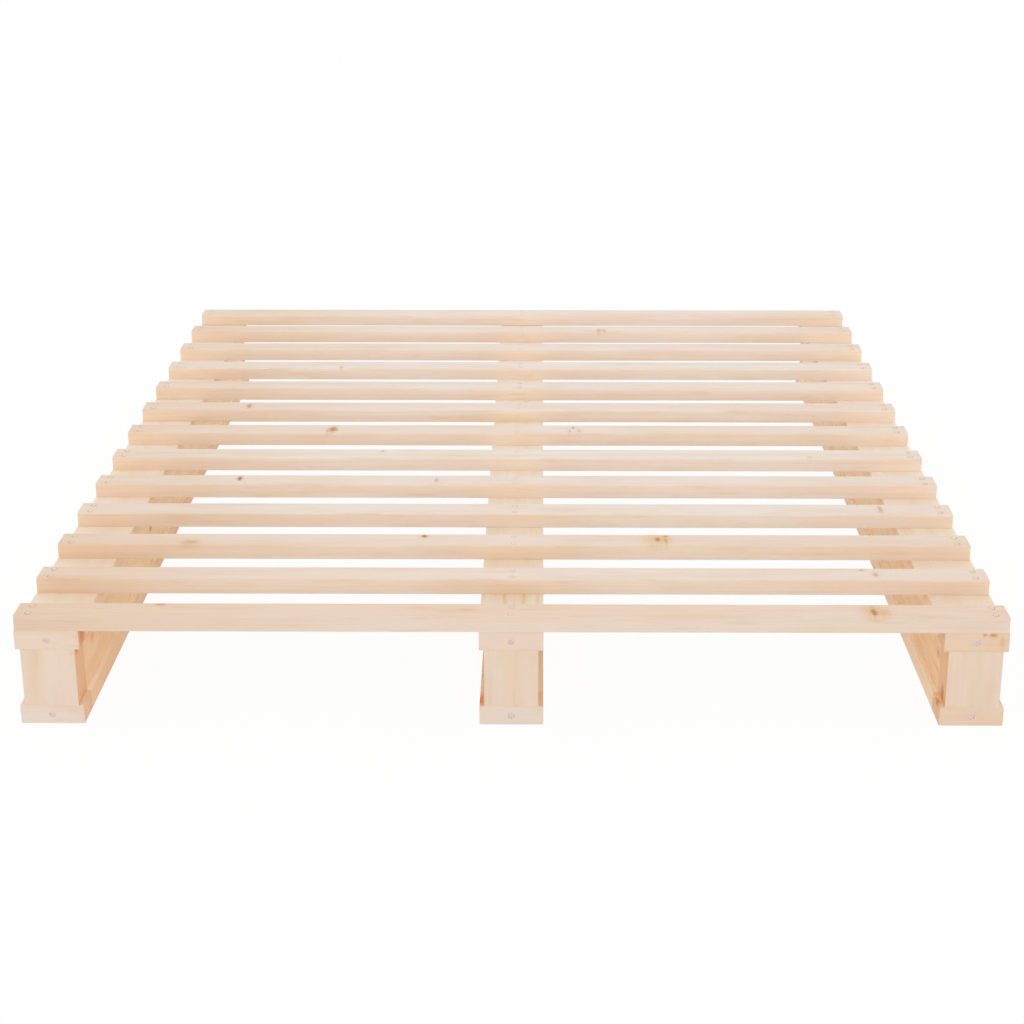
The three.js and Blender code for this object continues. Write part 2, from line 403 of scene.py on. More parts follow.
SLAT_FIGURE = Figure(rings=0.26, flecks=0.45, clouds=0.75)
QUIET_FIGURE = Figure(rings=0.10, flecks=0.35, clouds=0.9)
TOP_FIGURE = Figure(rings=0.12, flecks=0.3, clouds=0.7)
LEDGE_FIGURE = Figure(rings=0.0, flecks=0.6, clouds=0.6, cloud_rates=(16.0, 60.0))
SIDE_FIGURE = Figure(rings=0.4, flecks=0.5, clouds=0.9, cloud_rates=(8.0, 40.0))
FLAME_FIGURE = Figure(rings=0.42, flecks=0.9, clouds=1.8, cloud_rates=(15.0, 55.0))


def growth_rings(tree, radius, seed):
    """Late wood at a distance from the pith, in rings that differ in width and strength."""
    settings = {"noise_dimensions": "1D"}
    spread = tree.node("ShaderNodeTexNoise", settings, {"W": radius * RING_CHANGE_RATE + seed, "Scale": 1.0})
    turn = radius / RING_SPACING + Value(tree, spread.outputs[0]) * RING_CHANGE
    number = tree.math("FLOOR", turn)
    drawn = tree.node("ShaderNodeTexWhiteNoise", settings, {"W": number + RING_SEED_STEP * seed})
    strength = Value(tree, drawn.outputs["Value"]) * (1 - LEAST_RING) + LEAST_RING
    ring = turn - number
    return ring.step(*LATE_RISE) * ring.step(*LATE_FALL) * strength


def knot_masks(knot, grain, coordinates, blotch):
    """How far a knot pushes the growth rings outwards, and the masks of its halo, wood and heart.

    At a point that lies a along the grain and c across it from the knot's middle, the share of its radii is
    sqrt((a / along)^2 + (c / across)^2), which the blotch makes uneven.
    """
    side = next(axis for axis in "XYZ" if axis not in (grain, knot.axis))
    along_gap, side_gap, depth_gap = (
        coordinates[axis] - knot.place["XYZ".index(axis)] for axis in (grain, side, knot.axis)
    )
    along, across, golden = (size * MM for size in (knot.along, knot.across, knot.halo))
    along_share, side_share = along_gap / along, side_gap / across
    share = (along_share * along_share + side_share * side_share) ** 0.5 + blotch * KNOT_BLOTCH
    gap = (along_gap * along_gap + side_gap * side_gap) ** 0.5 + blotch * (HALO_BLOTCH * golden)
    under = abs(depth_gap).step(knot.reach, KNOT_FULL_SHARE * knot.reach)
    push = share.step(*KNOT_PUSH_SHARES) * under * (KNOT_PUSH * min(along, across))
    halo = gap.step(golden, HALO_FULL_SHARE * golden) * under * knot.depth
    wood = share.step(*KNOT_WOOD_SHARES) * under * knot.depth
    heart = share.step(*KNOT_HEART_SHARES) * under * knot.depth
    return push, (halo, wood, heart)


def pine(name, grain, pith, ground, seed, faces, figure, knots=(), tints=None):
    """Planed pine as if sawn from a log, with its grain along an axis.

    The growth rings are circles round the pith, which is a line along the grain. Slow noise sways it, quick
    noise ripples the rings, and they are pushed outwards round each knot. faces are the shades of what faces
    X, Y and Z: end grain, and painted light and shade by which way a face looks. tints gives more shades
    with their masks, from where a point is and which way it faces, many of them painted light and shade.
    """
    tree = Tree(bpy.data.materials.new(name))
    here = tree.node("ShaderNodeTexCoord").outputs["Object"]
    coordinates = dict(zip("XYZ", tree.parts(here)))
    shift = tuple(seed * step for step in SEED_SHIFT)
    shifted = tree.node("ShaderNodeVectorMath", {"operation": "ADD"}, {0: here, 1: shift}).outputs[0]

    def streaks(rates, **others):
        scale = [rates[0] if axis == grain else rates[1] for axis in "XYZ"]
        return tree.noise(shifted, scale, **others)

    across_axes = {"X": "YZ", "Y": "ZX", "Z": "XY"}[grain]
    sway = tree.parts(streaks(SWAY_RATES, detail=1.0, output="Color"))
    offsets = [
        coordinates[axis] - centre + (swing - 0.5) * RING_SWAY
        for axis, centre, swing in zip(across_axes, pith, sway)
    ]
    radius = (offsets[0] * offsets[0] + offsets[1] * offsets[1]) ** 0.5
    radius = radius + (streaks(RIPPLE_RATES) - 0.5) * RING_RIPPLE

    masks = []
    if knots:
        blotch = tree.noise(shifted, BLOTCH_RATES, detail=3.0) - 0.5
    for knot in knots:
        push, parts = knot_masks(knot, grain, coordinates, blotch)
        radius = radius + push
        masks.extend(zip(knot.tone, parts))

    late = growth_rings(tree, radius, seed)
    fibre = streaks(FIBRE_RATES, detail=3.0, roughness=0.6)
    masks.extend([
        (ROSE_STREAK, streaks(ROSE_RATES).step(*ROSE_LEVELS)),
        (STRAW_STREAK, streaks(STRAW_RATES, output="Color").step(*STRAW_LEVELS)),
        (CLOUD_SHADE, streaks(figure.cloud_rates).step(*CLOUD_LEVELS) * figure.clouds),
        (RESIN_FLECK, streaks(FLECK_RATES).step(*FLECK_LEVELS) * figure.flecks),
        (LATE_WOOD, late * figure.rings),
        (FIBRE_SHADE, fibre.step(*FIBRE_LEVELS) * FIBRE_DEPTH),
    ])
    normals = dict(zip("XYZ", tree.parts(tree.node("ShaderNodeNewGeometry").outputs["Normal"])))
    facing = {axis: abs(normals[axis]).step(*FACING_LEVELS) for axis in "XY"}
    if tints:
        masks.extend(tints(coordinates, facing))
    wood = colour(*ground)
    for shade, mask in masks:
        wood = tree.mix(wood, shade, mask, "MULTIPLY")
    # Shades by which way a face looks: end grain, and painted light and shade
    shades = tree.mix(faces[2], faces[0], facing["X"])
    shades = tree.mix(shades, faces[1], facing["Y"])
    wood = tree.mix(wood, shades, 1.0, "MULTIPLY")

    roughness = PLANED_ROUGHNESS + (fibre - 0.5) * FIBRE_ROUGHNESS + late * LATE_ROUGHNESS
    relief = late * LATE_RELIEF + fibre * FIBRE_RELIEF
    normal = tree.bump(relief, strength=0.35, distance=RELIEF_HEIGHT)
    return tree.surface(Base_Color=wood, Roughness=roughness, Normal=normal, IOR=1.45)


# Steel

# The bright and the dull shade of each zinc plating, as they show on screen
BRIGHT_ZINC = ((248, 232, 218), (228, 208, 192))
VIOLET_ZINC = ((228, 211, 214), (219, 201, 206))
TARNISH_RATES = (240.0, 240.0, 240.0)
TARNISH_LEVELS = (0.35, 0.7)
TARNISH_ROUGHNESS = 0.16
SCRATCH_RATES = (2600.0, 400.0, 2600.0)
SCRATCH_ROUGHNESS = 0.1
SCRATCH_DEPTH = 0.03 * MM


def plated_steel(name, bright, dull, metal, rough):
    """Zinc plating on steel, brushed by handling, in two shades of its passivation. metal is how much of it
    shines as bare metal does, and rough is its roughness where it is brightest."""
    tree = Tree(bpy.data.materials.new(name))
    here = tree.node("ShaderNodeTexCoord").outputs["Object"]
    cloud = tree.noise(here, TARNISH_RATES, detail=3.0)
    scratch = tree.noise(here, SCRATCH_RATES)
    shade = tree.mix(colour(*bright), colour(*dull), cloud.step(*TARNISH_LEVELS))
    roughness = rough + cloud * TARNISH_ROUGHNESS + (scratch - 0.5) * SCRATCH_ROUGHNESS
    normal = tree.bump(scratch, strength=0.2, distance=SCRATCH_DEPTH)
    return tree.surface(Base_Color=shade, Metallic=metal, Roughness=roughness, Normal=normal)


# Mesh making

def make_piece(name, points, faces, material):
    """A piece from its points and faces. Points that meet are welded. Curved faces are smooth, and edges stay
    crisp."""
    mesh = bpy.data.meshes.new(name)
    mesh.from_pydata(points.tolist(), [], [face.tolist() for face in faces])
    shell = bmesh.new()
    shell.from_mesh(mesh)
    bmesh.ops.remove_doubles(shell, verts=shell.verts, dist=WELD)
    shell.to_mesh(mesh)
    shell.free()
    mesh.shade_smooth()
    mesh.set_sharp_from_angle(angle=CREASE_ANGLE)
    mesh.materials.append(material)
    piece = bpy.data.objects.new(name, mesh)
    bpy.context.scene.collection.objects.link(piece)
    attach(piece, BODY)
    return piece


def grid_faces(rows, columns, wrap):
    """Quads of a grid of points stored row by row; wrap closes the rows on themselves."""
    index = np.arange(rows * columns).reshape(rows, columns)
    right = np.roll(index, -1, axis=1)
    quads = np.stack([index[:-1], index[1:], right[1:], right[:-1]], axis=-1)
    return (quads if wrap else quads[:, :-1]).reshape(-1, 4)


def board_section(width, height, radii, cells):
    """Closed outline of a board's section with its top face at height zero, from the top face's left end.

    Each flat runs straight to a quarter circle, whose radius is the first one at the top and the second one
    at the bottom. The top face is cut into equal cells. The other flats have a point just inside each end,
    which keeps them flat when shaded.
    """
    turn = np.linspace(0, math.pi / 2, ARC_STEPS + 1)
    outline = []
    for corner, (side, radius) in enumerate(zip((1, 1, -1, -1), (*radii, *radii[::-1]))):
        drop = radius if corner in (0, 3) else height - radius
        angles = (1 - corner) * math.pi / 2 - turn
        centre = [side * (width / 2 - radius), -drop]
        outline.append(centre + radius * np.stack([np.cos(angles), np.sin(angles)], axis=1))
    start, end = outline[3][-1], outline[0][0]
    cells_at = np.linspace(0, 1, cells + 1)[1:-1, None]
    loop = [start + (end - start) * cells_at]
    for corner in range(4):
        arc = outline[corner]
        loop.append(arc)
        if corner < 3:
            following = outline[corner + 1][0]
            way = (following - arc[-1]) / np.linalg.norm(following - arc[-1])
            loop.append(np.stack([arc[-1] + way * FLAT_HOLD, following - way * FLAT_HOLD]))
    loop = np.concatenate(loop)
    return np.roll(loop, 1, axis=0)


def tightened(box, low=(0, 0, 0), high=(0, 0, 0)):
    """A box made larger where a piece meets its neighbours: low and high say on which of its sides."""
    return box[0] - Vector(low) * TIGHTER, box[1] + Vector(high) * TIGHTER


def hole_points(border, centre, bore):
    """The rings of a hole: the border of its rectangle, then one for each (radius, depth) of its bore.

    A point of a ring at angle t lies at centre + radius * (cos t, sin t), from the border's first corner on.
    """
    angles = np.linspace(0, 2 * math.pi, len(border), endpoint=False) - 0.75 * math.pi
    circle = np.stack([np.cos(angles), np.sin(angles)], axis=1)
    rings = [
        np.column_stack([centre + radius * circle, np.full(len(circle), -depth)]) for radius, depth in bore
    ]
    return np.concatenate([border, *rings])


def drilled_board(box, along, out, radii, end_radius, holes=(), bore=()):
    """Surface of a board with rounded edges, and round holes in one face or none.

    The section is carried along the board, and shrinks over a quarter circle at both ends. Each hole has a
    rectangle of the drilled face to itself, and rings lead from its border to the hole's rim and down the
    bore.

    along and out are the directions of the board and of the drilled face. radii are those of the edges of
    that face and of the face behind it, and end_radius that of the edges round both ends. holes are (along,
    across) from the face's middle, in rows of one or two, and bore is a list of (radius, depth).
    """
    low, high = (np.array(corner) for corner in box)
    along, out, radii = (np.array(values, float) for values in (along, out, radii))
    across = np.cross(out, along)
    size, middle = high - low, (high + low) / 2
    length, width, height = (abs(size @ axis) for axis in (along, across, out))
    face = middle + out * height / 2

    rows = sorted({hole[0] for hole in holes})
    lanes = len(holes) // len(rows) if rows else 1
    cells = HOLE_CELLS * lanes
    patch = (width - 2 * radii[0]) / lanes
    turn = np.linspace(0, math.pi / 2, END_STEPS + 1)
    end_places = end_radius * (1 - np.sin(turn))
    end_insets = end_radius * (1 - np.cos(turn))
    starts = -length / 2 + end_places[::-1]
    row_places = [row + patch * np.linspace(-0.5, 0.5, HOLE_CELLS + 1) for row in rows]
    stations = np.concatenate([starts, *row_places, -starts[::-1]])
    no_inset = np.zeros(len(stations) - 2 * len(end_insets))
    insets = np.concatenate([end_insets[::-1], no_inset, end_insets])
    stations = np.concatenate([[stations[0]], stations, [stations[-1]]])
    insets = np.concatenate([[insets[0] + FLAT_HOLD / 2], insets, [insets[-1] + FLAT_HOLD / 2]])

    sections = []
    for inset in insets:
        inner_radii = np.maximum(radii - inset, LEAST_RADIUS)
        outline = board_section(width - 2 * inset, height - 2 * inset, inner_radii, cells)
        sections.append(outline - [0, inset])
    shell = np.stack(sections)
    columns = shell.shape[1]
    local = np.concatenate([np.broadcast_to(stations[:, None, None], (*shell.shape[:2], 1)), shell], axis=2)
    quads = grid_faces(len(stations), columns, wrap=True).reshape(len(stations) - 1, columns, 4)
    kept = np.ones(quads.shape[:2], bool)
    points, faces = [local.reshape(-1, 3)], []

    first_row = len(starts) + 1
    for number, row in enumerate(rows):
        station = first_row + number * (HOLE_CELLS + 1)
        for lane, centre in enumerate(hole for hole in holes if hole[0] == row):
            column = lane * HOLE_CELLS
            kept[station:station + HOLE_CELLS, column:column + HOLE_CELLS] = False
            square = local[station:station + HOLE_CELLS + 1, column:column + HOLE_CELLS + 1]
            border = np.concatenate([square[:-1, 0], square[-1, :-1], square[:0:-1, -1], square[0, :0:-1]])
            base = sum(len(part) for part in points)
            points.append(hole_points(border, centre, bore))
            faces.extend(grid_faces(len(bore) + 1, len(border), wrap=True)[:, ::-1] + base)
            faces.append(np.arange(len(border)) + base + len(bore) * len(border))
    faces.extend(quads[kept])
    faces.append(np.arange(columns))
    faces.append(np.arange(columns)[::-1] + (len(stations) - 1) * columns)
    local = np.concatenate(points)
    placed = face + local @ np.stack([along, across, out])
    return placed, faces


def turned_rings(rings, sides):
    """Points of a body round its own axis, with its top face at height zero.

    Each ring is (radius, depth), where the radius may be a function of the angle, as round a cross or a
    hexagon: a point at angle t lies at radius * (cos t, sin t). The first ring is the deepest one, and a flat
    face closes it, as another does the last one.
    """
    angles = np.arange(sides) * 2 * math.pi / sides
    directions = np.stack([np.cos(angles), np.sin(angles)], axis=1)
    layers = []
    for radius, depth in rings:
        reach = radius(angles) if callable(radius) else np.full(sides, radius)
        layers.append(np.column_stack([reach[:, None] * directions, np.full(sides, -depth)]))
    points = np.concatenate(layers)
    quads = grid_faces(len(rings), sides, wrap=True)[:, ::-1]
    bottom = np.arange(sides)[::-1]
    top = np.arange(sides) + (len(rings) - 1) * sides
    return points, [*quads, bottom, top]


def cross_outline(scale):
    """Radius of a cross recess at an angle: on the flat end of an arm its reach over the cosine of the turn
    from its middle, and on its side half its width over the sine."""
    arm_half = CROSS_REACH * math.tan(CROSS_ARM_TURN)
    rounding_room = math.radians(0.1)

    def reach(angles):
        off_arm = abs((angles + math.pi / 4) % (math.pi / 2) - math.pi / 4)
        on_end = off_arm <= CROSS_ARM_TURN + rounding_room
        side = arm_half / np.sin(np.where(on_end, 1.0, off_arm))
        return scale * np.where(on_end, CROSS_REACH / np.cos(off_arm), side)

    return reach


def hexagon_outline(scale):
    """Radius of a hexagon at an angle: half its width across flats over the cosine of the turn from one."""

    def reach(angles):
        off_flat = (angles + math.pi / 6) % (math.pi / 3) - math.pi / 6
        return scale * SOCKET_REACH / np.cos(off_flat)

    return reach


# Slats

# Where the log's pith lies from the slats' middles, by turns: to the side, and above or below
SLAT_PITH_SIDES = (0.046, -0.020, 0.075, -0.060, 0.012)
SLAT_PITH_LEVELS = (-0.070, -0.115, 0.090, -0.060)

# How warm each slat's timber is, from the foot end
SLAT_WARMTH = (0.95, 0.45, 0.6, 0.1, 0.25, 0.1, 0.4, 0.25, 0.2, 0.0, 0.2, 0.3, 0.1)

# Painted light and shade on the slats' fronts, from the foot end, the last for all others. The first,
# which the light reaches openly, is darker, and from the fifth on they are lighter where the slats in
# front shade them.
PAINTED_FRONT_LIGHT = (
    (0.905, 0.93, 0.955),
    (0.98, 0.965, 0.92),
    (0.99, 0.99, 0.97),
    (0.99, 0.965, 0.92),
    (1.03, 1.02, 1.0),
)

# Where the painted shade at a slat's ends and the painted bounce light over the rails begin and are
# full: places along X, or distances from its middle
END_SHADE_LEFT_SPAN = (-0.2, -1.0)
END_SHADE_RIGHT_SPAN = (0.5, 1.0)
END_SHADE_RIGHT_DEPTH = 0.25
BOUNCE_OUTER_SPAN = (0.66, 0.95)
BOUNCE_MIDDLE_SPAN = (0.20, 0.04)

# The painted shadow round the screws, shifted towards the foot end and weaker over the middle rail
SCREW_SHADOW_SPAN = (8 * MM, 5.5 * MM)
SCREW_SHADOW_SHIFT = 2.2 * MM
SCREW_SHADOW_OUTER_SPAN = (0.4, 0.6)
SCREW_SHADOW_LEAST = 0.5


def slat_name(number):
    return f"slat_{number + 1:02d}"


def make_slats():
    """Each slat again, with edges and countersinks as round as they are on real timber."""
    bore = [
        (HOLE_RADIUS + HOLE_EDGE, 0.0),
        (HOLE_RADIUS, HOLE_EDGE),
        (HOLE_NECK_RADIUS, HOLE_DEPTH),
        (HOLE_NECK_RADIUS, HOLE_DEPTH + HOLE_NECK_LENGTH),
    ]
    radii = (SLAT_EDGE_RADIUS, SLAT_UNDER_RADIUS)
    rows = (-SCREW_ROW_SPACING / 2, SCREW_ROW_SPACING / 2)
    for number in range(SLAT_COUNT):
        node = slat_name(number)
        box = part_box(node)
        middle = (box[0] + box[1]) / 2
        aside = SLAT_PITH_SIDES[number % len(SLAT_PITH_SIDES)]
        level = SLAT_PITH_LEVELS[number % len(SLAT_PITH_LEVELS)]
        pith = (middle.y + aside, middle.z + level)
        warmth = SLAT_WARMTH[number]
        ground = [pale + (warm - pale) * warmth for pale, warm in zip(PALE_CREAM, WARM_CREAM)]
        faces = (END_GRAIN, PAINTED_FRONT_LIGHT[min(number, len(PAINTED_FRONT_LIGHT) - 1)], NO_SHADE)
        knots = slat_knots(number, middle.y, box[1].z)
        reach = (box[1].x - box[0].x) / 2 - SCREW_END_INSET
        tints = slat_tints(middle.y, reach, number == 0)
        seed = SLAT_SEED + number
        material = pine(f"pine_{node}", "X", pith, ground, seed, faces, SLAT_FIGURE, knots, tints)
        holes = [(x, y) for x in (-reach, 0.0, reach) for y in rows]
        box = tightened(box, low=(0, 0, 1))
        points, faces = drilled_board(box, (1, 0, 0), (0, 0, 1), radii, END_EDGE_RADIUS, holes, bore)
        piece = make_piece(f"planed_{node}", points, faces, material)
        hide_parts(node)


def slat_tints(middle, reach, first):
    """A slat has painted shade, warmer and darker, towards its left end, and a little towards its right
    one. A painted shadow lies round each screw, most towards the foot end. All but the first have painted
    warm bounce light in front over the rails."""

    def tints(at, facing):
        off_end, off_middle = abs(abs(at["X"]) - reach), abs(at["X"])
        nearer = at["Y"] - middle + SCREW_SHADOW_SHIFT
        off_row = abs(nearer + SCREW_ROW_SPACING / 2).at_most(abs(nearer - SCREW_ROW_SPACING / 2))
        off_screw = off_end.at_most(off_middle)
        distance = (off_screw * off_screw + off_row * off_row) ** 0.5
        outer = off_middle.step(*SCREW_SHADOW_OUTER_SPAN) * (1 - SCREW_SHADOW_LEAST) + SCREW_SHADOW_LEAST
        shades = [
            (PAINTED_END_SHADE, at["X"].step(*END_SHADE_LEFT_SPAN)),
            (PAINTED_END_SHADE, at["X"].step(*END_SHADE_RIGHT_SPAN) * END_SHADE_RIGHT_DEPTH),
            (PAINTED_SCREW_SHADOW, distance.step(*SCREW_SHADOW_SPAN) * outer),
        ]
        if not first:
            bounce_over_rail = off_middle.step(*BOUNCE_OUTER_SPAN).at_least(off_middle.step(*BOUNCE_MIDDLE_SPAN))
            shades.append((PAINTED_BOUNCE_FRONT, bounce_over_rail * facing["Y"]))
        return shades

    return tints


# Knots that show on the slats' top faces. In metres: place along X. In millimetres: place across from the
# slat's middle, radii along and across the grain, halo. Then the depth of colour and the tone.
SLAT_KNOTS = (
    (1, 0.729, -4, 7, 17, 46, 0.85, BROWN_KNOT),
    (1, 0.750, -8, 22, 14, 34, 0.28, FOXY_KNOT),
    (1, -0.712, 21, 11, 5, 20, 0.6, GREY_KNOT),
    (1, -0.087, 1, 24, 6, 30, 0.28, FOXY_KNOT),
    (2, 0.738, 18, 7, 4, 16, 0.6, GREY_KNOT),
    (2, 0.764, -3, 6, 11, 24, 0.6, GREY_KNOT),
    (3, 0.316, 2, 6, 11, 48, 0.95, BROWN_KNOT),
    (3, 0.334, -3, 4, 18, 20, 0.35, RED_KNOT),
    (3, 0.335, 18, 5, 4, 12, 0.6, BROWN_KNOT),
    (3, -0.198, 17, 6, 7, 18, 1.0, RED_KNOT),
    (3, -0.710, -16, 20, 10, 30, 0.35, BROWN_KNOT),
    (4, 0.837, 0, 6, 24, 20, 0.4, BROWN_KNOT),
    (5, -0.660, 6, 5, 13, 16, 1.0, RED_KNOT),
    (5, -0.190, -1, 5, 16, 14, 0.5, GREY_KNOT),
    (6, -0.333, 15, 6, 5, 14, 0.4, GREY_KNOT),
    (6, 0.723, -18, 6, 8, 12, 0.25, GREY_KNOT),
    (7, -0.475, -5, 11, 19, 22, 0.9, BROWN_KNOT),
    (7, -0.489, -18, 4, 9, 10, 0.5, GREY_KNOT),
    (7, 0.142, 9, 4, 10, 14, 0.8, GREY_KNOT),
    (7, 0.133, -15, 4, 13, 10, 0.4, GREY_KNOT),
    (7, 0.157, -10, 7, 17, 12, 0.35, FOXY_KNOT),
    (8, -0.718, -1, 6, 17, 30, 0.9, GREY_KNOT),
    (10, -0.508, -20, 4, 8, 12, 0.6, GREY_KNOT),
    (12, 0.235, -12, 8, 16, 20, 0.5, GREY_KNOT),
    (12, 0.250, -12, 7, 14, 14, 0.3, RED_KNOT),
)


def slat_knots(number, middle, level):
    return [
        Knot("Z", (x, middle + offset * MM, level), along, across, halo, depth, tone)
        for slat, x, offset, along, across, halo, depth, tone in SLAT_KNOTS
        if slat == number + 1
    ]


# Screws and bolts

def make_screws(steel):
    """The screws that hold the slats, one piece for each rail: countersunk heads with a cross recess."""
    rings = [
        (SCREW_NECK_RADIUS, SCREW_HEAD_SINK + SCREW_HEAD_HEIGHT),
        (SCREW_HEAD_RADIUS, SCREW_HEAD_SINK + SCREW_ROUNDING),
        (SCREW_HEAD_RADIUS - SCREW_ROUNDING, SCREW_HEAD_SINK),
    ]
    rings += [(cross_outline(reach), SCREW_HEAD_SINK + depth * CROSS_DEPTH) for reach, depth in CROSS_STEPS]
    screw, screw_faces = turned_rings(rings, SCREW_SIDES)
    for rail, direction in zip(RAILS, (-1, 0, 1)):
        points, faces = [], []
        for number in range(SLAT_COUNT):
            low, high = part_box(slat_name(number))
            reach = (high.x - low.x) / 2 - SCREW_END_INSET
            for side in (-0.5, 0.5):
                turn = SCREW_TURN * (number + side)
                cosine, sine = math.cos(turn), math.sin(turn)
                spin = np.array([[cosine, sine, 0], [-sine, cosine, 0], [0, 0, 1]])
                centre = (direction * reach, (low.y + high.y) / 2 + side * SCREW_ROW_SPACING, high.z)
                base = len(points) * len(screw)
                points.append(screw @ spin + centre)
                faces.extend(face + base for face in screw_faces)
        make_piece(f"{rail}_slat_screws", np.concatenate(points), faces, steel)


def bolt_rings(length):
    """A bolt from its tip up: shank, head with a rounded rim, and hexagon socket with a bevelled mouth."""
    edge_in, edge_up = BOLT_UNDER_EDGE
    arc_middle = ARC_MIDDLE_SHARE * BOLT_ROUNDING
    return [
        (BOLT_TIP_RADIUS, length),
        (BOLT_SHANK_RADIUS, length - BOLT_TIP_LENGTH),
        (BOLT_SHANK_RADIUS, BOLT_HEAD_HEIGHT),
        (BOLT_HEAD_RADIUS - edge_in, BOLT_HEAD_HEIGHT),
        (BOLT_HEAD_RADIUS, BOLT_HEAD_HEIGHT - edge_up),
        (BOLT_HEAD_RADIUS, BOLT_ROUNDING),
        (BOLT_HEAD_RADIUS - arc_middle, arc_middle),
        (BOLT_HEAD_RADIUS - BOLT_ROUNDING, 0.0),
        (hexagon_outline(SOCKET_MOUTH_SHARE), 0.0),
        (hexagon_outline(1.0), SOCKET_BEVEL),
        (hexagon_outline(1.0), SOCKET_DEPTH),
        (hexagon_outline(SOCKET_CONE_SHARE), SOCKET_DEPTH + SOCKET_BEVEL),
    ]


def make_bolts(steel):
    """The end bolts again, each with its head at the outer face of its block."""
    for rail, end, level in product(RAILS, ENDS, LEVELS):
        node = f"{rail}_{end}_{level}_bolt"
        low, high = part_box(node)
        points, faces = turned_rings(bolt_rings(high.y - low.y), BOLT_SIDES)
        outward = ENDS[end]
        axes = np.array([[-outward, 0, 0], [0, 0, 1], [0, outward, 0]])
        centre = ((low.x + high.x) / 2, high.y if end == "head" else low.y, (low.z + high.z) / 2)
        piece = make_piece(f"turned_{node}", points @ axes + centre, faces, steel)
        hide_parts(node)


# Rails

# Shades of the rails' faces towards X, Y and Z. Most of what faces sideways is darker: end grain on the
# blocks, and painted shade, more orange, on the long-grain sides of the posts and boards, most on the middle
# rail. The blocks' tops carry painted light, and the middle rail's ledge painted shade.
BLOCK_FACES = ((1.0, 0.86, 0.67), NO_SHADE, (1.2, 1.17, 1.15))
POST_FACES = ((1.06, 0.81, 0.545), NO_SHADE, END_GRAIN)
SHADED_CENTRE_POST_FACES = ((0.98, 0.64, 0.40), NO_SHADE, END_GRAIN)
BOARD_FACES = ((0.99, 0.83, 0.66), END_GRAIN, NO_SHADE)
LEDGE_FACES = ((0.88, 0.67, 0.51), END_GRAIN, (1.04, 1.02, 1.02))
PALE_LEDGE_FACES = ((0.93, 0.78, 0.66), END_GRAIN, (1.0, 0.94, 0.90))
SHADED_CENTRE_LEDGE_FACES = ((0.88, 0.67, 0.51), END_GRAIN, (0.926, 0.877, 0.816))
SIDE_FACES = (NO_SHADE, END_GRAIN, NO_SHADE)

# Where the log's pith lies from the middle of a piece of a rail
BLOCK_PITH_BEHIND = 0.055
BLOCK_PITH_LEVEL = 0.03
POST_PITH_SIDE = 0.015
POST_PITH_BEHIND = 0.09
BOARD_PITH_SIDE = 0.06
BOARD_PITH_LEVEL = 0.02

# Where tones, and painted light and shade, begin and are full along X: on the frame's outer sides,
# inside them, and on single rails
OUTER_SIDE = 0.985
OUTER_SPAN = (OUTER_SIDE, OUTER_SIDE + 4 * MM)
INNER_SPAN = (OUTER_SIDE, OUTER_SIDE - 5 * MM)
LEFT_RAIL_SPAN = (-0.5, -0.6)
MIDDLE_RAIL_SPAN = (0.2, 0.1)

# The flames on the posts' sides: how many there are to a metre of X, Y and Z, and the rise and fall of each
FLAME_RATES = (40.0, 260.0, 9.0)
FLAME_RISE = (0.35, 0.6)
FLAME_FALL = (0.95, 0.6)
FLAME_DEPTH = 0.5


def end_knots(node, low, high):
    """The knots that show on the end pieces: on the blocks' fronts, and where their sides face inwards."""
    brow = high.z - 4 * MM
    knots = {
        "right_rail_foot_top_block": [
            Knot("Y", (0.949, low.y, brow), 5, 3, 9, 0.6, BROWN_KNOT),
            Knot("Y", (0.966, low.y, brow), 9, 4, 15, 0.6, BROWN_KNOT),
            Knot("Y", (0.985, low.y, high.z - 20 * MM), 6, 16, 16, 0.3, FOXY_KNOT),
        ],
        "left_rail_foot_top_block": [
            Knot("Z", (high.x, -0.975, high.z), 12, 20, 24, 0.9, FOXY_KNOT, 4 * KNOT_REACH),
        ],
        "right_rail_foot_bottom_block": [
            Knot("Z", (low.x, -0.975, high.z), 5, 14, 18, 0.6, BROWN_KNOT),
            # A thin dark streak along the ledge's outer edge, drawn with a knot's masks
            Knot("Z", (high.x - 3 * MM, -0.966, high.z), 2, 22, 5, 0.7, BROWN_KNOT),
        ],
        "centre_rail_foot_bottom_block": [
            Knot("Z", (low.x, -0.975, high.z), 12, 20, 24, 1.0, FOXY_KNOT),
        ],
        "right_rail_foot_post": [
            Knot("X", (low.x, -0.972, 0.060), 18, 9, 24, 0.85, BROWN_KNOT),
        ],
        "left_rail_foot_post": [
            Knot("X", (high.x, -0.985, 0.160), 9, 12, 20, 0.8, FOXY_KNOT),
        ],
    }
    return knots.get(node, [])


def outer_side(at, facing):
    """1 on the faces that look sideways out of the frame."""
    return abs(at["X"]).step(*OUTER_SPAN) * facing["X"]


def block_tints(at, facing):
    """A block's ledge has painted warm bounce light inside the frame, and painted shade on the middle rail.
    The left rail's inner side is orange, and the outer sides are paler, with less of the painted shade."""
    inner = abs(at["X"]).step(*INNER_SPAN)
    upwards = 1 - facing["X"].at_least(facing["Y"])
    return [
        (PAINTED_INNER_BOUNCE, inner * upwards),
        (PAINTED_CENTRE_LEDGE_SHADE, upwards * abs(at["X"]).step(*MIDDLE_RAIL_SPAN)),
        (ORANGE_SIDE, inner * facing["X"] * at["X"].step(*LEFT_RAIL_SPAN)),
        (OUTER_BLOCK, outer_side(at, facing)),
    ]


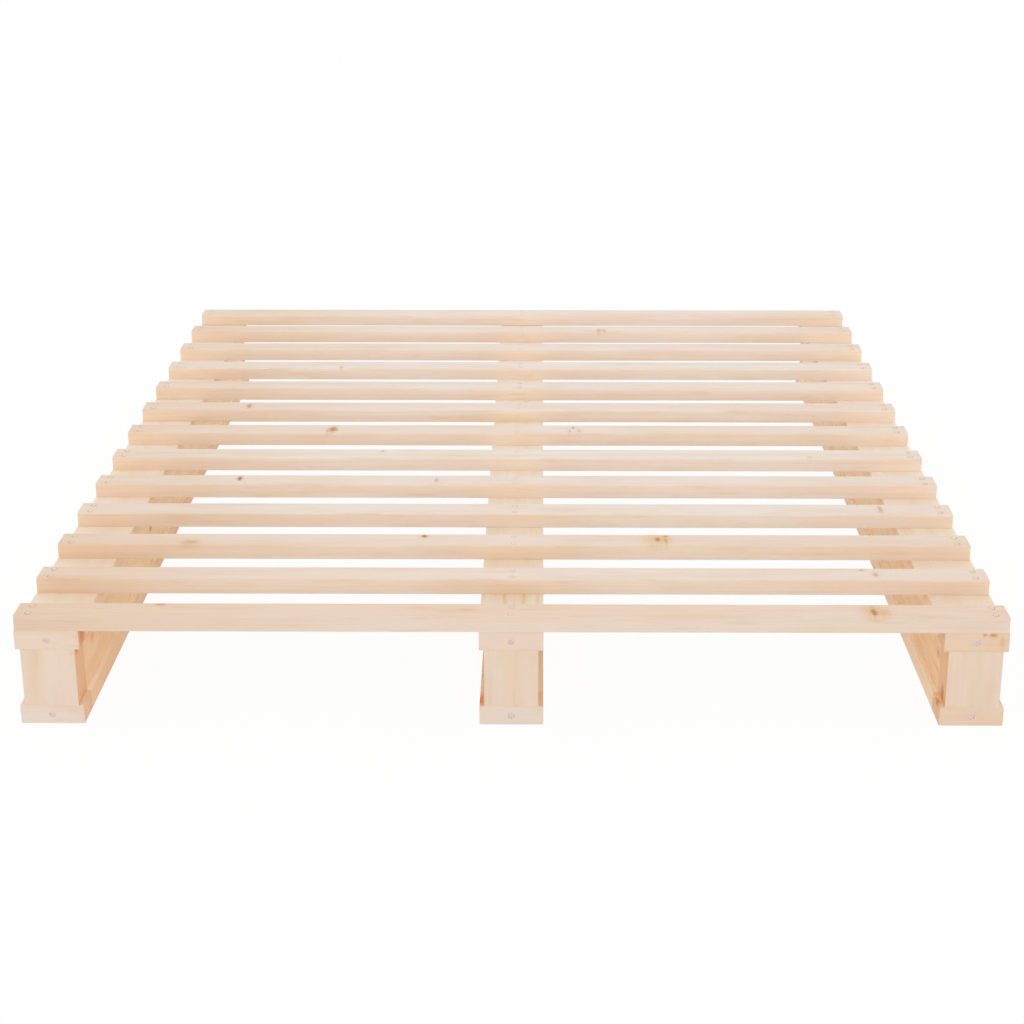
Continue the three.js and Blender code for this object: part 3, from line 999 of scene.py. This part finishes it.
def make_end_blocks():
    """The end blocks again, with rounded edges and a round counterbore for the bolt's head."""
    bore = [
        (COUNTERBORE_RADIUS + HOLE_EDGE, 0.0),
        (COUNTERBORE_RADIUS, HOLE_EDGE),
        (COUNTERBORE_RADIUS, COUNTERBORE_DEPTH),
    ]
    grounds = {"top": END_CREAM, "bottom": END_PALE}
    right_grounds = {"top": END_HONEY, "bottom": END_STRAW}
    for seed, (rail, end, level) in enumerate(product(RAILS, ENDS, LEVELS), BLOCK_SEED):
        outward = ENDS[end]
        node = f"{rail}_{end}_{level}_block"
        low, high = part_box(node)
        middle = (low + high) / 2
        pith = (middle.y - outward * BLOCK_PITH_BEHIND, middle.z + BLOCK_PITH_LEVEL * (-1) ** seed)
        ground = (right_grounds if rail == "right_rail" else grounds)[level]
        knots = end_knots(node, low, high)
        material = pine(
            f"pine_{node}", "X", pith, ground, seed, BLOCK_FACES, QUIET_FIGURE, knots, block_tints
        )
        to_rail, to_post = (0, outward < 0, level == "bottom"), (0, outward > 0, level == "top")
        box = tightened((low, high), low=to_post, high=to_rail)
        centre = [(0.0, 0.0)]
        way = (0, outward, 0)
        points, faces = drilled_board(box, (1, 0, 0), way, BOARD_RADII, END_EDGE_RADIUS, centre, bore)
        piece = make_piece(f"planed_{node}", points, faces, material)
        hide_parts(node)


def post_tints(at, facing):
    """The posts' sides show short flames of darker wood: waves in height that lean with the depth. The outer
    ones are plain and paler, with less of the painted shade of the inner ones."""
    x_rate, y_rate, z_rate = FLAME_RATES
    flame = (at["Z"] * z_rate + at["Y"] * y_rate + at["X"] * x_rate).fraction()
    outer = outer_side(at, facing)
    flames = flame.step(*FLAME_RISE) * flame.step(*FLAME_FALL) * (facing["X"] - outer)
    return [(RESIN_FLECK, flames * FLAME_DEPTH), (OUTER_POST, outer)]


def make_posts():
    """The upright posts again, each in three closed shells: the post and the stub tenons at its ends."""
    for seed, (rail, end) in enumerate(product(RAILS, ENDS), POST_SEED):
        outward = ENDS[end]
        node = f"{rail}_{end}_post"
        low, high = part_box(node)
        middle = (low + high) / 2
        floor_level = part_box(f"{rail}_{end}_bottom_block")[1].z + TIGHTER
        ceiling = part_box(f"{rail}_{end}_top_block")[0].z - TIGHTER
        body = Vector((low.x, low.y, floor_level)), Vector((high.x, high.y, ceiling))
        body = tightened(body, low=(0, outward > 0, 0), high=(0, outward < 0, 0))
        half = Vector((TENON_WIDTH / 2, TENON_DEPTH / 2, 0))
        tenons = [
            (Vector((middle.x, middle.y, bottom)) - half, Vector((middle.x, middle.y, top)) + half)
            for bottom, top in ((low.z, floor_level), (ceiling, high.z))
        ]
        points, faces = [], []
        for box in (body, *tenons):
            shell, quads = drilled_board(box, (0, 0, 1), (0, outward, 0), BOARD_RADII, LEAST_RADIUS)
            base = sum(len(part) for part in points)
            points.append(shell)
            faces.extend(np.asarray(quad) + base for quad in quads)
        pith = (middle.x + POST_PITH_SIDE, middle.y - outward * POST_PITH_BEHIND)
        knots = end_knots(node, low, high)
        shades = SHADED_CENTRE_POST_FACES if rail == "centre_rail" else POST_FACES
        material = pine(f"pine_{node}", "Z", pith, END_CREAM, seed, shades, QUIET_FIGURE, knots, post_tints)
        piece = make_piece(f"planed_{node}", np.concatenate(points), faces, material)
        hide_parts(node)


# Knots of the rails' sides: board, place along Y and Z, radii along and across in millimetres, depth, tone
SIDE_KNOTS = (
    ("left_rail_right_side_board", -0.905, 0.158, 30, 8, 0.7, FOXY_KNOT),
    ("left_rail_right_side_board", -0.872, 0.128, 14, 10, 0.5, FOXY_KNOT),
    ("left_rail_right_side_board", -0.790, 0.110, 16, 10, 0.4, BROWN_KNOT),
    ("left_rail_right_side_board", -0.560, 0.080, 14, 9, 0.6, BROWN_KNOT),
    ("left_rail_right_side_board", -0.330, 0.120, 14, 9, 0.7, BROWN_KNOT),
    ("right_rail_left_side_board", -0.920, 0.120, 18, 12, 0.5, GREY_KNOT),
    ("right_rail_left_side_board", -0.700, 0.098, 14, 9, 0.5, BROWN_KNOT),
    ("right_rail_left_side_board", -0.250, 0.120, 14, 9, 0.6, BROWN_KNOT),
)
SIDE_HALO = 2.5  # times a knot's radius across the grain

# Where the painted light on the rails' sides begins and is full: along the rail, across the frame, and
# in height
SIDE_LIGHT_SPAN = (-0.85, -0.45)
ACROSS_SPAN = (-0.5, 0.5)
RIGHT_SIDE_LAG = 0.25
CORNER_LIGHT_SPAN = (0.050, 0.0425)


def side_knots(node, face):
    return [
        Knot("X", (face, y, z), along, across, SIDE_HALO * across, depth, tone, 2 * KNOT_REACH)
        for board, y, z, along, across, depth, tone in SIDE_KNOTS
        if board == node
    ]


def side_tints(at, facing):
    """Painted light on the rails' sides: paler away from the foot end, first on the left, and in the corner
    above the ledge, lifting the shade of the slats over them and of the corner."""
    along = at["Y"] - at["X"].step(*ACROSS_SPAN) * RIGHT_SIDE_LAG
    return [(PAINTED_SIDE_LIGHT, along.step(*SIDE_LIGHT_SPAN)), (PAINTED_CORNER_LIGHT, at["Z"].step(*CORNER_LIGHT_SPAN))]


def make_side_boards():
    """The rails' side boards again, each filling its grooves."""
    for seed, (rail, side) in enumerate(product(RAILS, SIDES), SIDE_BOARD_SEED):
        outward = SIDES[side]
        node = f"{rail}_{side}_side_board"
        low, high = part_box(node)
        middle = (low + high) / 2
        pith = (middle.z + BOARD_PITH_LEVEL * outward, middle.x + BOARD_PITH_SIDE * outward)
        knots = side_knots(node, high.x if outward > 0 else low.x)
        ground = SHADED_CENTRE_HONEY if rail == "centre_rail" else BOUNCE_LIT_HONEY
        figure, tints = FLAME_FIGURE, side_tints
        # The outer boards, which the light reaches openly, have their own honey and no painted light
        if rail == f"{side}_rail":
            ground, figure, tints = OUTER_HONEY, SIDE_FIGURE, None
        material = pine(f"pine_{node}", "Y", pith, ground, seed, SIDE_FACES, figure, knots, tints)
        box = tightened((low, high), low=(1, 0, 0), high=(1, 0, 0))
        points, faces = drilled_board(box, (0, 1, 0), (outward, 0, 0), BOARD_RADII, BOARD_EDGE_RADIUS)
        piece = make_piece(f"planed_{node}", points, faces, material)
        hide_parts(node)


# Where along Y the painted light on the top boards begins, and is full
TOP_LIGHT_SPAN = (-0.9, 0.2)

# The growth rings that part round a knot in the middle rail's top board: the places of the knot and of the
# rings' middle, how far the innermost ring reaches, the step between rings, and where each rises and falls
ONION_KNOT_PLACE = (0.004, -0.850)
ONION_PLACE = (0.004, -0.840)
ONION_REACH = (21 * MM, 100 * MM)
ONION_SPACING = 1.4
ONION_START = 2.75
ONION_RISE = (0.50, 0.75)
ONION_FALL = (0.95, 0.75)
ONION_DEPTH = 0.5
ONION_EDGE_SHARES = (3.0, 2.2)
ONION_NEAR_SPAN = (-0.80, -0.83)
ONION_LEFT_SPAN = (-40 * MM, -32 * MM)


def bottom_tints(at, facing):
    """The bottom boards have less of their painted light on the frame's outer sides, which are duller."""
    return [(OUTER_FLANGE, outer_side(at, facing))]


def top_tints(at, facing):
    """The top boards have painted light that grows away from the foot end, and less of it on the
    frame's outer sides, which are duller.
    """
    return [(PAINTED_TOP_LIGHT, at["Y"].step(*TOP_LIGHT_SPAN)), (OUTER_TOP, outer_side(at, facing))]


def onion_tints(at, facing):
    """Rings of late wood round a knot, at equal steps of their share: sqrt((x / reach)^2 + (y / reach)^2)."""
    shares = [(at[axis] - centre) / reach for axis, centre, reach in zip("XY", ONION_PLACE, ONION_REACH)]
    share = (shares[0] * shares[0] + shares[1] * shares[1]) ** 0.5
    turn = ((share - 1.0) / ONION_SPACING + ONION_START).fraction()
    ring = turn.step(*ONION_RISE) * turn.step(*ONION_FALL) * share.step(*ONION_EDGE_SHARES)
    near_half = at["Y"].step(*ONION_NEAR_SPAN) * at["X"].step(*ONION_LEFT_SPAN)
    return [(LATE_WOOD, ring * near_half * ONION_DEPTH), *top_tints(at, facing)]


# Ground, face shades, figure and tints of the rails' top and bottom boards, and of the three that differ
LONG_BOARDS = {
    "top_board": (PAINTED_LIGHT_TOP_CREAM, BOARD_FACES, TOP_FIGURE, top_tints),
    "bottom_board": (PAINTED_LIGHT_LEDGE_CREAM, LEDGE_FACES, LEDGE_FIGURE, bottom_tints),
    "centre_rail_top_board": (PAINTED_LIGHT_TOP_CREAM, BOARD_FACES, TOP_FIGURE, onion_tints),
    "centre_rail_bottom_board": (PAINTED_LIGHT_LEDGE_CREAM, SHADED_CENTRE_LEDGE_FACES, LEDGE_FIGURE, bottom_tints),
    "right_rail_bottom_board": (PAINTED_LIGHT_LEDGE_CREAM, PALE_LEDGE_FACES, LEDGE_FIGURE, bottom_tints),
}


def dress_long_boards():
    """Pine for the rails' top and bottom boards, whose grain runs along the rail."""
    for seed, (rail, level) in enumerate(product(RAILS, LEVELS), LONG_BOARD_SEED):
        node = f"{rail}_{level}_board"
        low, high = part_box(node)
        middle = (low + high) / 2
        aside = BOARD_PITH_SIDE * (1 if seed % 3 else -1)
        pith = (middle.z + BOARD_PITH_LEVEL * (-1) ** seed, middle.x + aside)
        knots = []
        if node == "centre_rail_top_board":
            knots = [Knot("Z", (*ONION_KNOT_PLACE, high.z), 40, 22, 30, 0.3, ONION_KNOT)]
        ground, shades, figure, tints = LONG_BOARDS.get(node, LONG_BOARDS[f"{level}_board"])
        dress(node, pine(f"pine_{node}", "Y", pith, ground, seed, shades, figure, knots, tints))


def dress(node, material):
    """Gives a node of the frame its material."""
    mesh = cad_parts[node].data
    mesh.materials.clear()
    mesh.materials.append(material)


# Studio

SKY_ZENITH = 0.57
SKY_HORIZON = 1.43
SKY_SPAN = (0.25, 1.0)  # how far up, of 1 overhead, the horizon's light ends and the zenith's is full
CAMERA_WHITE = 0.94  # how much of what the camera sees of the floor is plain white
FLOOR_GREY = 0.92
FLOOR_GLOW = 0.06
FLOOR_REACH = 60.0
LAMP_SIDE = 4.0
LAMP_POWER = 9.0
LAMP_PLACE = (-1.2, -2.0, 4.0)


def looked_at(tree):
    """1 for what the camera sees, straight or by way of a mirror or glass."""
    rays = tree.node("ShaderNodeLightPath").outputs
    seen = Value(tree, rays["Is Camera Ray"]).at_least(Value(tree, rays["Is Glossy Ray"]))
    return seen.at_least(Value(tree, rays["Is Transmission Ray"]))


def sky(tree):
    """Light that grows from the zenith to the horizon, and plain white where the camera or a mirror looks."""
    up = tree.parts(tree.node("ShaderNodeTexCoord").outputs["Generated"])[2]
    light = tree.mix(grey(SKY_HORIZON), grey(SKY_ZENITH), up.step(*SKY_SPAN))
    shown = tree.mix(light, grey(1.0), looked_at(tree))
    background = tree.node("ShaderNodeBackground", None, {"Color": shown, "Strength": 1.0})
    tree.node("ShaderNodeOutputWorld", None, {"Surface": background.outputs[0]})


def floor_material():
    """A pale floor that takes the frame's shadow, most of the way to white where it is looked at. It glows
    faintly, lighting the frame a little from below.
    """
    tree = Tree(bpy.data.materials.new("studio_floor"))
    matt = tree.node("ShaderNodeBsdfDiffuse", None, {"Color": grey(FLOOR_GREY)})
    glow = tree.node("ShaderNodeEmission", None, {"Color": grey(1.0), "Strength": FLOOR_GLOW})
    matt = tree.node("ShaderNodeAddShader", None, {0: matt.outputs[0], 1: glow.outputs[0]})
    white = tree.node("ShaderNodeEmission", None, {"Color": grey(1.0), "Strength": 1.0})
    amount = looked_at(tree) * CAMERA_WHITE
    mixed = tree.node("ShaderNodeMixShader", None, {0: amount, 1: matt.outputs[0], 2: white.outputs[0]})
    tree.node("ShaderNodeOutputMaterial", None, {"Surface": mixed.outputs[0]})
    return tree.owner


def make_studio():
    """A wide pale floor that glows faintly, a soft white dome, and one large lamp overhead, towards the
    foot end.
    """
    corners = [(x * FLOOR_REACH, y * FLOOR_REACH, 0.0) for x, y in ((-1, -1), (1, -1), (1, 1), (-1, 1))]
    mesh = bpy.data.meshes.new("studio_floor")
    mesh.from_pydata(corners, [], [(0, 1, 2, 3)])
    mesh.materials.append(floor_material())
    floor = bpy.data.objects.new("studio_floor", mesh)
    bpy.context.scene.collection.objects.link(floor)

    world = bpy.data.worlds.new("studio")
    bpy.context.scene.world = world
    sky(Tree(world))

    lamp = bpy.data.lights.new("overhead_lamp", "AREA")
    lamp.shape = "SQUARE"
    lamp.size = LAMP_SIDE
    lamp.energy = LAMP_POWER
    overhead = bpy.data.objects.new("overhead_lamp", lamp)
    overhead.location = LAMP_PLACE
    overhead.rotation_euler = (-overhead.location).to_track_quat("-Z", "Y").to_euler()
    bpy.context.scene.collection.objects.link(overhead)


bpy.context.scene.view_settings.view_transform = "Standard"
set_camera()
make_studio()
make_slats()
make_screws(plated_steel("bright_zinc", *BRIGHT_ZINC, metal=1.0, rough=0.25))
make_bolts(plated_steel("violet_zinc", *VIOLET_ZINC, metal=0.25, rough=0.5))
make_end_blocks()
make_posts()
make_side_boards()
dress_long_boards()
